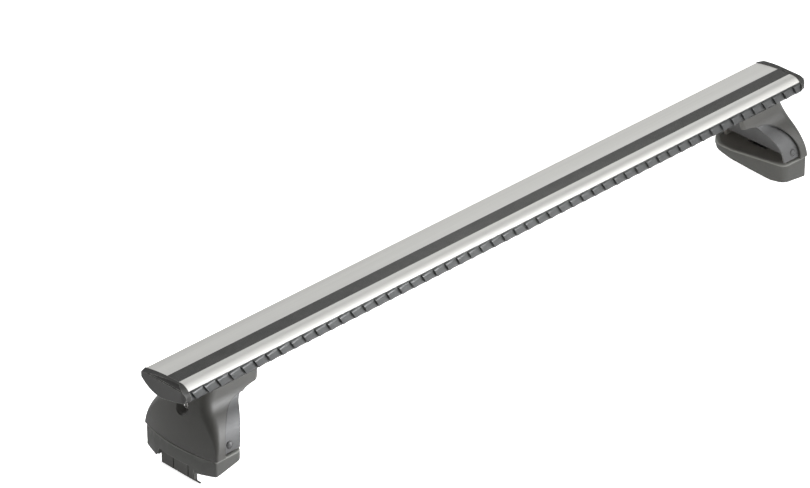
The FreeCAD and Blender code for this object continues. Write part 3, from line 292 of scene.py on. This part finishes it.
def edge_rub_and_highlight_group():
    """Where an edge stands out, for edge wear and, where set strong, a painted highlight: the surface's
    normal against one rounded over a small radius.
    """
    inputs = {"Radius": RUB_AND_HIGHLIGHT_REACH, "Scale": 120.0, "Amount": 1.0, "Full": RUB_AND_HIGHLIGHT_FULL}
    tree, inlet, outlet = new_group("edge_rub_and_highlight", inputs, ("Mask",))
    rounded = put(tree, "ShaderNodeBevel", {"Radius": inlet["Radius"]}, samples=RUB_AND_HIGHLIGHT_SAMPLES)
    lean = vectors(tree, "DOT_PRODUCT", rounded.outputs[0], surface_normal(tree))["Value"]
    bent = spread(tree, lean, RUB_AND_HIGHLIGHT_START, inlet["Full"])
    patches = spread(tree, noise(tree, own_place(tree), inlet["Scale"], 4.0), *NOISE_NARROW)
    worn_and_highlit = maths(tree, "MULTIPLY", product(tree, bent, patches), inlet["Amount"], True)
    tree.links.new(worn_and_highlit, outlet["Mask"])
    return tree


def grain_group():
    """Moulded grain: a fine leather-like height, a slow mottle and a finer fleck."""
    tree, inlet, outlet = new_group(
        "moulded_grain", {"Grain": 1400.0, "Mottle": 26.0}, ("Height", "Mottle", "Fleck"))
    place = own_place(tree)
    cells = put(tree, "ShaderNodeTexVoronoi", {"Vector": place, "Scale": inlet["Grain"]}, feature="SMOOTH_F1")
    fine = noise(tree, place, product(tree, inlet["Grain"], FINE_RATIO), 2.0)
    slow = noise(tree, place, inlet["Mottle"], 3.0, 0.6)
    fleck = noise(tree, place, product(tree, inlet["Grain"], FLECK_RATIO), 4.0, 0.7)
    height = maths(tree, "ADD", product(tree, cells.outputs["Distance"], CELL_SHARE),
                   product(tree, fine, 1.0 - CELL_SHARE))
    tree.links.new(height, outlet["Height"])
    tree.links.new(spread(tree, slow, *NOISE_WIDE), outlet["Mottle"])
    tree.links.new(spread(tree, fleck, *NOISE_NARROW), outlet["Fleck"])
    return tree


def drawn_group():
    """Lines drawn along the bar by the extrusion die, fine ones and a few broad ones, and a speckle."""
    tree, inlet, outlet = new_group(
        "drawn_lines", {"Along": LINES_ALONG, "Across": LINES_ACROSS}, ("Lines", "Bands", "Speckle"))
    place = own_place(tree)
    stretch = put(tree, "ShaderNodeCombineXYZ", {0: inlet["Along"], 1: inlet["Across"], 2: inlet["Across"]})
    fine = vectors(tree, "MULTIPLY", place, stretch.outputs[0])[0]
    broad = vectors(tree, "MULTIPLY", fine, BROAD_BANDS)[0]
    tree.links.new(noise(tree, fine, 1.0, 3.0, 0.6), outlet["Lines"])
    tree.links.new(noise(tree, broad, 1.0, 2.0, 0.5), outlet["Bands"])
    tree.links.new(noise(tree, place, SPECKLE_SCALE, 2.0, 0.7), outlet["Speckle"])
    return tree


def crevice_shade_group():
    """Painted shade where a surface lies in a narrow gap, such as round a pin: ambient occlusion as a mask.
    """
    tree, inlet, outlet = new_group("crevice_shade", {"Reach": GAP_REACH}, ("Mask",))
    near = put(tree, "ShaderNodeAmbientOcclusion", {"Distance": inlet["Reach"]}, samples=GAP_SAMPLES)
    tree.links.new(spread(tree, near.outputs["AO"], *OPENNESS), outlet["Mask"])
    return tree


def part_line_shade_group():
    """The painted shade along the round part line, where the tower's wall dips under the cover's edge."""
    tree, inlet, outlet = new_group("part_line_shade", {"Width": LINE_WIDTH}, ("Mask",))
    place = parts_of(tree, own_place(tree))
    facing = parts_of(tree, surface_normal(tree))
    outward = maths(tree, "SUBTRACT", maths(tree, "ABSOLUTE", place["X"]), LINE_REACH)
    upward = maths(tree, "SUBTRACT", place["Z"], LINE_LEVEL)
    squares = maths(tree, "ADD", product(tree, outward, outward), product(tree, upward, upward))
    inside = maths(tree, "SUBTRACT", LINE_RADIUS, maths(tree, "SQRT", squares))
    fade = spread(tree, inside, 0.0, inlet["Width"], 1.0, 0.0)
    outer_side = positive(tree, product(tree, facing["Y"], place["Y"]))
    quarter = product(tree, positive(tree, outward), positive(tree, upward))
    there = product(tree, product(tree, quarter, outer_side), positive(tree, inside))
    tree.links.new(maths(tree, "MULTIPLY", there, fade, True), outlet["Mask"])
    return tree


EDGE_RUB_AND_HIGHLIGHT = edge_rub_and_highlight_group()
GRAIN = grain_group()
DRAWN = drawn_group()
CREVICE_SHADE = crevice_shade_group()
PART_LINE_SHADE = part_line_shade_group()


# Finishes

def new_material(name, **constants):
    """A material with its shader, and the constants that are the same all over it set on the shader."""
    made = bpy.data.materials.new(name)
    made.use_nodes = True
    tree = made.node_tree
    shader = tree.nodes["Principled BSDF"]
    for key, value in constants.items():
        shader.inputs[key.replace("_", " ")].default_value = value
    return made, tree, shader


def rgba(colour):
    """A colour with full cover."""
    return (colour[0], colour[1], colour[2], 1.0)


def shaded(colour, share):
    """A colour made darker or lighter by a share."""
    return rgba([channel * share for channel in colour])


def surface(tree, shader, colour, roughness, height, strength, depth):
    """Links a colour, a roughness and a bump to the shader."""
    bump = put(tree, "ShaderNodeBump", {"Strength": strength, "Distance": depth, "Height": height})
    tree.links.new(colour, shader.inputs["Base Color"])
    tree.links.new(roughness, shader.inputs["Roughness"])
    tree.links.new(bump.outputs[0], shader.inputs["Normal"])


def anodised_bar():
    """Satin silver anodising on drawn aluminium, with edges paler where the anodising wears through."""
    made, tree, shader = new_material("anodised_bar", Metallic=0.92, Specular_IOR_Level=0.5)
    drawn = shared(tree, DRAWN, Along=LINES_ALONG, Across=LINES_ACROSS)
    rub_and_highlight_mask = shared(tree, EDGE_RUB_AND_HIGHLIGHT, Radius=0.5 * MM, Scale=60.0, Amount=0.8)["Mask"]
    bands = spread(tree, drawn["Bands"], *NOISE_NARROW)
    specks = spread(tree, drawn["Speckle"], *NOISE_WIDE, 0.0, SPECKLE_AMOUNT)
    dark, pale = (shaded(SILVER, share) for share in BAND_SHADES)
    top = mix_colour(tree, bands, dark, pale)
    top = mix_colour(tree, specks, top, shaded(SILVER, SPECKLE_SHADE))
    top = mix_colour(tree, rub_and_highlight_mask, top, shaded(SILVER, BARE_SHADE))
    roughness = spread(tree, drawn["Lines"], *NOISE_WIDE, *BAR_ROUGHNESS)
    height = maths(tree, "ADD", drawn["Lines"], product(tree, drawn["Speckle"], SPECKLE_HEIGHT))
    surface(tree, shader, top, roughness, height, BAR_BUMP, BAR_DEPTH)
    return made


def moulded(name, colour, grain, depth, rough, rub_and_highlight, mottle=26.0, rub_and_highlight_reach=RUB_AND_HIGHLIGHT_REACH, rub_and_highlight_full=RUB_AND_HIGHLIGHT_FULL,
            gap_reach=GAP_REACH, top_highlight=0.0, part_line_shade=False):
    """Moulded plastic or rubber: grain, mottle, flecks, edge wear with a painted highlight on strong edges, a
    painted highlight on faces that look up, and painted shade in gaps and along the part line.
    """
    made, tree, shader = new_material(name, Specular_IOR_Level=MOULDED_SHINE)
    texture = shared(tree, GRAIN, Grain=grain, Mottle=mottle)
    rub_and_highlight_mask = shared(tree, EDGE_RUB_AND_HIGHLIGHT, Radius=rub_and_highlight_reach, Scale=150.0, Amount=rub_and_highlight, Full=rub_and_highlight_full)["Mask"]
    # Painted shade: a mask from ambient occlusion in narrow gaps
    gap = shared(tree, CREVICE_SHADE, Reach=gap_reach)["Mask"]
    dark, pale = (shaded(colour, share) for share in MOTTLE_SHADES)
    top = mix_colour(tree, texture["Mottle"], dark, pale)
    flecks = spread(tree, texture["Fleck"], 0.0, 1.0, 0.0, FLECK_AMOUNT)
    top = mix_colour(tree, flecks, top, shaded(colour, FLECK_SHADE))
    # Pale edges: wear, and on the cap's ridge and the pads' rims a painted highlight
    top = mix_colour(tree, rub_and_highlight_mask, top, rgba(PALE_WEAR_AND_HIGHLIGHT))
    # Painted highlight: faces that look up made paler, as light from above falls on them
    if top_highlight:
        upward = parts_of(tree, surface_normal(tree))["Z"]
        top = mix_colour(tree, spread(tree, upward, *TOP_HIGHLIGHT_SLOPE, 0.0, top_highlight), top, rgba(PALE_WEAR_AND_HIGHLIGHT))
    # Painted shade: the colour darkened in narrow gaps and along the part line
    if part_line_shade:
        gap = maths(tree, "MAXIMUM", gap, shared(tree, PART_LINE_SHADE, Width=LINE_WIDTH)["Mask"])
    top = mix_colour(tree, gap, top, shaded(colour, GAP_SHADE))
    low, high = (rough + change for change in MOULDED_GLOSS)
    roughness = spread(tree, texture["Mottle"], 0.0, 1.0, low, high)
    surface(tree, shader, top, roughness, texture["Height"], MOULDED_BUMP, depth)
    return made


def plated(name, colour, rough, depth):
    """Plated steel with fine turning marks and edges paler from wear."""
    made, tree, shader = new_material(name, Metallic=1.0)
    texture = shared(tree, GRAIN, Grain=2200.0, Mottle=90.0)
    rub_and_highlight_mask = shared(tree, EDGE_RUB_AND_HIGHLIGHT, Radius=0.3 * MM, Scale=300.0, Amount=0.3)["Mask"]
    dark, pale = (shaded(colour, share) for share in PLATED_SHADES)
    top = mix_colour(tree, texture["Mottle"], dark, pale)
    top = mix_colour(tree, rub_and_highlight_mask, top, shaded(colour, RUBBED_SHADE))
    low, high = (rough + change for change in PLATED_GLOSS)
    roughness = spread(tree, texture["Fleck"], 0.0, 1.0, low, high)
    surface(tree, shader, top, roughness, texture["Height"], PLATED_BUMP, depth)
    return made


MOULDINGS = {
    "strip_rubber": dict(colour=STRIP_BLACK, grain=1500.0, depth=0.12 * MM, rough=0.62, rub_and_highlight=0.35),
    "notch_rubber": dict(colour=NOTCH_BLACK, grain=1300.0, depth=0.08 * MM, rough=0.40, rub_and_highlight=0.5),
    # The cap's strong edge setting paints a highlight along its ridge
    "cap_plastic": dict(colour=CAP_BLACK, grain=1500.0, depth=0.09 * MM, rough=0.54, rub_and_highlight=1.3,
                        rub_and_highlight_reach=1.2 * MM, rub_and_highlight_full=0.98),
    # Tower and cover take painted shade along the part line as well as in their gaps
    "tower_plastic": dict(colour=TOWER_BLACK, grain=1300.0, depth=0.12 * MM, rough=0.50, rub_and_highlight=0.45,
                          gap_reach=2.0 * MM, part_line_shade=True),
    "cover_plastic": dict(colour=COVER_BLACK, grain=1300.0, depth=0.12 * MM, rough=0.50, rub_and_highlight=0.45,
                          gap_reach=2.5 * MM, part_line_shade=True),
    "carrier_plastic": dict(colour=CARRIER_GREY, grain=1500.0, depth=0.04 * MM, rough=0.55, rub_and_highlight=0.3),
    "pin_plastic": dict(colour=TOWER_BLACK, grain=1800.0, depth=0.06 * MM, rough=0.50, rub_and_highlight=0.4,
                        gap_reach=1.5 * MM),
    # The pad's edge setting and top highlight paint a highlight on its rim
    "pad_rubber": dict(colour=PAD_BLACK, grain=1100.0, depth=0.14 * MM, rough=0.68, rub_and_highlight=1.0, mottle=34.0,
                       rub_and_highlight_reach=1.6 * MM, gap_reach=0.5 * MM, top_highlight=0.9),
    "clamp_steel": dict(colour=COAT_BLACK, grain=2000.0, depth=0.03 * MM, rough=0.42, rub_and_highlight=0.8),
    "guard_plastic": dict(colour=GUARD_BLACK, grain=1400.0, depth=0.09 * MM, rough=0.55, rub_and_highlight=0.5),
}

FINISHES = {name: moulded(name, **settings) for name, settings in MOULDINGS.items()}
FINISHES["bar_metal"] = anodised_bar()
FINISHES["zinc_steel"] = plated("zinc_steel", ZINC, 0.34, 0.03 * MM)
FINISHES["lock_metal"] = plated("lock_metal", NICKEL, 0.24, 0.02 * MM)


def dress_nodes():
    """Gives every carried-over node the finish of its slot."""
    for name, item in NODES.items():
        item.data.materials.clear()
        item.data.materials.append(FINISHES[SLOTS[name]])


# Small steps in making pieces

def start_clean():
    """Leaves nothing selected, so that an operator acts on the new piece alone."""
    if bpy.context.object and bpy.context.object.mode != "OBJECT":
        bpy.ops.object.mode_set(mode="OBJECT")
    bpy.ops.object.select_all(action="DESELECT")


def choose(item):
    """Makes a piece the only one selected, and the active one."""
    start_clean()
    item.select_set(True)
    bpy.context.view_layer.objects.active = item


def apply_modifier(item, kind, **settings):
    """Adds a modifier with its settings and applies it."""
    choose(item)
    made = item.modifiers.new(kind.lower(), kind)
    for name, value in settings.items():
        setattr(made, name, value)
    bpy.ops.object.modifier_apply(modifier=made.name)


def round_edges(item, width, segments=2, corner=30.0):
    """Rounds every edge that turns by more than a corner in degrees."""
    apply_modifier(item, "BEVEL", width=width, segments=segments, limit_method="ANGLE",
                   angle_limit=math.radians(corner))


def in_a_row(item, count, step):
    """Repeats a piece by a step."""
    apply_modifier(item, "ARRAY", count=count, use_relative_offset=False, use_constant_offset=True,
                   constant_offset_displace=step)


def weld(item):
    """Merges the points that a rounded edge left in one place, and turns all faces outwards."""
    choose(item)
    bpy.ops.object.mode_set(mode="EDIT")
    bpy.ops.mesh.select_all(action="SELECT")
    bpy.ops.mesh.remove_doubles(threshold=DOUBLED)
    bpy.ops.mesh.dissolve_degenerate(threshold=DOUBLED)
    bpy.ops.mesh.normals_make_consistent(inside=False)
    bpy.ops.object.mode_set(mode="OBJECT")


def settle(item, name, body, slot, *nodes, smooth=35.0):
    """Finishes a piece: its place goes into its mesh, it gets its name, finish and body, and any nodes given
    are hidden.
    """
    choose(item)
    bpy.ops.object.transform_apply(location=True, rotation=True, scale=True)
    bpy.ops.object.shade_smooth_by_angle(angle=math.radians(smooth))
    item.name = name
    item.data.name = name
    item.data.materials.clear()
    item.data.materials.append(FINISHES[slot])
    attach(item, body)
    if nodes:
        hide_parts(*nodes)


def boxed(low, high):
    """A box primitive between two corners, with its place applied."""
    start_clean()
    bpy.ops.mesh.primitive_cube_add(size=1.0, location=(Vector(low) + Vector(high)) / 2)
    item = bpy.context.object
    item.scale = Vector(high) - Vector(low)
    bpy.ops.object.transform_apply(location=True, rotation=True, scale=True)
    return item


def merged(items):
    """Several pieces joined into one."""
    choose(items[0])
    for item in items[1:]:
        item.select_set(True)
    bpy.ops.object.join()
    return bpy.context.object


def pick(item, kind, wanted):
    """In edit mode, selects the points (VERT) or edges (EDGE) that a test wants, and nothing else."""
    bpy.ops.object.mode_set(mode="EDIT")
    bpy.ops.mesh.select_mode(type=kind)
    bpy.ops.mesh.select_all(action="DESELECT")
    bpy.ops.object.mode_set(mode="OBJECT")
    for element in item.data.vertices if kind == "VERT" else item.data.edges:
        element.select = wanted(element)
    bpy.ops.object.mode_set(mode="EDIT")


def cut_off(where, facing, keep_front):
    """In edit mode, cuts the whole piece on a plane, drops one side and closes the cut."""
    bpy.ops.mesh.select_all(action="SELECT")
    bpy.ops.mesh.bisect(plane_co=where, plane_no=facing, use_fill=True,
                        clear_inner=keep_front, clear_outer=not keep_front)


# The new pieces

def rubber_pad(side):
    """A foot pad with soft edges: a copy of the node with its loose triangles merged, then rounded."""
    node = side + "_foot_pad"
    pad = bpy.data.objects.new(side + "_rubber_pad", NODES[node].data.copy())
    bpy.context.scene.collection.objects.link(pad)
    choose(pad)
    bpy.ops.object.mode_set(mode="EDIT")
    bpy.ops.mesh.select_all(action="SELECT")
    bpy.ops.mesh.remove_doubles(threshold=TOUCHING)
    bpy.ops.mesh.dissolve_limited(angle_limit=FLAT_ANGLE)
    bpy.ops.object.mode_set(mode="OBJECT")
    round_edges(pad, PAD_EDGE, corner=PAD_CORNER)
    weld(pad)
    settle(pad, side + "_rubber_pad", side + "_pad", "pad_rubber", node)


def nose_tooth(low, high, start):
    """One tooth: a rounded bar with leaning ends, proud at its outer end and sinking to the next tooth."""
    middle = (low.z + high.z) / 2
    tail = start + TOOTH_PITCH - TOOTH_GAP
    halfway = (start + tail) / 2
    tooth = boxed((start - TOOTH_PITCH, low.y + TOOTH_INSET, low.z),
                  (start + 2 * TOOTH_PITCH, NOSE_PLANE + TOOTH_ROOT, high.z))

    def long_front(edge):
        """Whether an edge runs along the front of the bar."""
        first, second = (tooth.data.vertices[index].co for index in edge.vertices)
        return max(first.y, second.y) < NOSE_PLANE and abs(first.x - second.x) > TOOTH_PITCH

    def along(point):
        """A point's place along the tooth, carried to mid height in line with the leaning ends."""
        return point.co.x + (point.co.z - middle) * math.tan(TOOTH_LEAN)

    choose(tooth)
    pick(tooth, "EDGE", long_front)
    bpy.ops.mesh.bevel(offset=TOOTH_CORNER, segments=TOOTH_CORNER_STEPS, profile=0.5, affect="EDGES")
    facing = (math.cos(TOOTH_LEAN), 0.0, math.sin(TOOTH_LEAN))
    cut_off((start, 0.0, middle), facing, True)
    cut_off((tail, 0.0, middle), facing, False)
    pick(tooth, "VERT", lambda point: along(point) > halfway)
    bpy.ops.transform.resize(value=(1.0, TOOTH_TAIL_DEPTH, TOOTH_TAIL_HEIGHT),
                             center_override=(tail, NOSE_PLANE, middle))
    pick(tooth, "VERT", lambda point: along(point) < halfway)
    bpy.ops.transform.resize(value=(1.0, 1.0, TOOTH_HEAD_HEIGHT), center_override=(start, NOSE_PLANE, low.z))
    bpy.ops.object.mode_set(mode="OBJECT")
    round_edges(tooth, TOOTH_LIP, TOOTH_LIP_STEPS, TOOTH_LIP_CORNER)
    weld(tooth)
    return tooth


def nose_strip():
    """The rubber strip in the nose: a backing with its stem, and leaning teeth cut flush at the ends."""
    low, high = (Vector(corner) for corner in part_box("notched_strip"))
    middle = (low.z + high.z) / 2
    first = low.x + TOOTH_START - TOOTH_PITCH
    teeth = nose_tooth(low, high, first)
    in_a_row(teeth, math.ceil((high.x - first) / TOOTH_PITCH) + 1, (TOOTH_PITCH, 0.0, 0.0))
    choose(teeth)
    bpy.ops.object.mode_set(mode="EDIT")
    cut_off((low.x, 0.0, 0.0), (1.0, 0.0, 0.0), True)
    cut_off((high.x, 0.0, 0.0), (1.0, 0.0, 0.0), False)
    bpy.ops.object.mode_set(mode="OBJECT")
    backing = boxed((low.x, NOSE_PLANE - BACKING_FRONT, low.z + BACKING_FOOT),
                    (high.x, NOSE_PLANE + BACKING_BACK, high.z - BACKING_HEAD))
    round_edges(backing, BACKING_EDGE)
    stem = boxed((low.x, NOSE_PLANE, middle - STEM_HALF), (high.x, high.y, middle + STEM_HALF))
    round_edges(stem, STEM_EDGE)
    settle(merged([teeth, backing, stem]), "nose_strip_rubber", "bar", "notch_rubber", "notched_strip",
           smooth=STRIP_SMOOTH)


def ribbed_strip():
    """The rubber strip in the bar's top, with shallow ribs along it."""
    low, high = (Vector(corner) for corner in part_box("top_strip"))
    base = boxed(low, (high.x, high.y, high.z - RIB_HEIGHT))
    round_edges(base, STRIP_EDGE)
    pitch = (high.y - low.y) / RIB_COUNT
    first = low.y + pitch / 2
    ribs = boxed((low.x, first - RIB_WIDTH / 2, high.z - 2 * RIB_HEIGHT),
                 (high.x, first + RIB_WIDTH / 2, high.z))
    round_edges(ribs, RIB_EDGE)
    in_a_row(ribs, RIB_COUNT, (0.0, pitch, 0.0))
    settle(merged([base, ribs]), "top_strip_rubber", "bar", "strip_rubber", "top_strip")


def lock_collar(side):
    """A bright ring round the head of the lock."""
    low, high = (Vector(corner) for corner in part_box(side + "_lock_cylinder"))
    outer_end = low.x if side == "left" else high.x
    start_clean()
    bpy.ops.mesh.primitive_torus_add(
        major_radius=(high.y - low.y) / 2 - RING_INSET, minor_radius=RING_THICKNESS,
        major_segments=RING_STEPS, minor_segments=RING_TUBE_STEPS,
        location=(outer_end, 0.0, (low.z + high.z) / 2), rotation=(0.0, math.pi / 2, 0.0))
    settle(bpy.context.object, side + "_lock_ring", side + "_lock", "lock_metal")


# Floor, lights and camera

def pale_floor():
    """A wide pale floor under the object, bright by itself as a lit table is."""
    start_clean()
    bpy.ops.mesh.primitive_plane_add(size=FLOOR_SIZE, location=(0.0, 0.0, FLOOR_LEVEL))
    floor = bpy.context.object
    floor.name = "floor"
    made, _, shader = new_material("floor_paper", Roughness=0.9)
    shader.inputs["Base Color"].default_value = FLOOR_WHITE
    shader.inputs["Emission Color"].default_value = rgba(WHITE)
    shader.inputs["Emission Strength"].default_value = FLOOR_GLOW
    floor.data.materials.append(made)


def soft_light(name, place, target, width, height, power, colour, beam):
    """A rectangular soft light that faces a target."""
    data = bpy.data.lights.new(name, "AREA")
    data.shape = "RECTANGLE"
    data.size = width
    data.size_y = height
    data.energy = power
    data.color = colour
    data.spread = math.radians(beam)
    item = bpy.data.objects.new(name, data)
    item.location = place
    item.rotation_euler = (Vector(target) - Vector(place)).to_track_quat("-Z", "Y").to_euler()
    bpy.context.scene.collection.objects.link(item)


def pale_room():
    """A dim pale room, which lights the object from all round."""
    world = bpy.data.worlds.new("pale_room")
    world.use_nodes = True
    background = world.node_tree.nodes["Background"]
    background.inputs["Color"].default_value = ROOM_TINT
    background.inputs["Strength"].default_value = ROOM_GLOW
    bpy.context.scene.world = world


def photo_camera():
    """The camera at the photograph's viewing angle."""
    data = bpy.data.cameras.new("photo_camera")
    data.lens = CAMERA_LENS
    data.sensor_width = SENSOR_WIDTH
    data.sensor_fit = "HORIZONTAL"
    data.clip_end = CAMERA_REACH
    item = bpy.data.objects.new("photo_camera", data)
    item.location = CAMERA_PLACE
    item.rotation_euler = CAMERA_TURN
    bpy.context.scene.collection.objects.link(item)
    bpy.context.scene.camera = item


dress_nodes()
for side in SIDES:
    rubber_pad(side)
nose_strip()
ribbed_strip()
for side in SIDES:
    lock_collar(side)
pale_floor()
pale_room()
for light in LIGHTS:
    soft_light(*light)
photo_camera()
bpy.context.scene.view_settings.view_transform = "Standard"
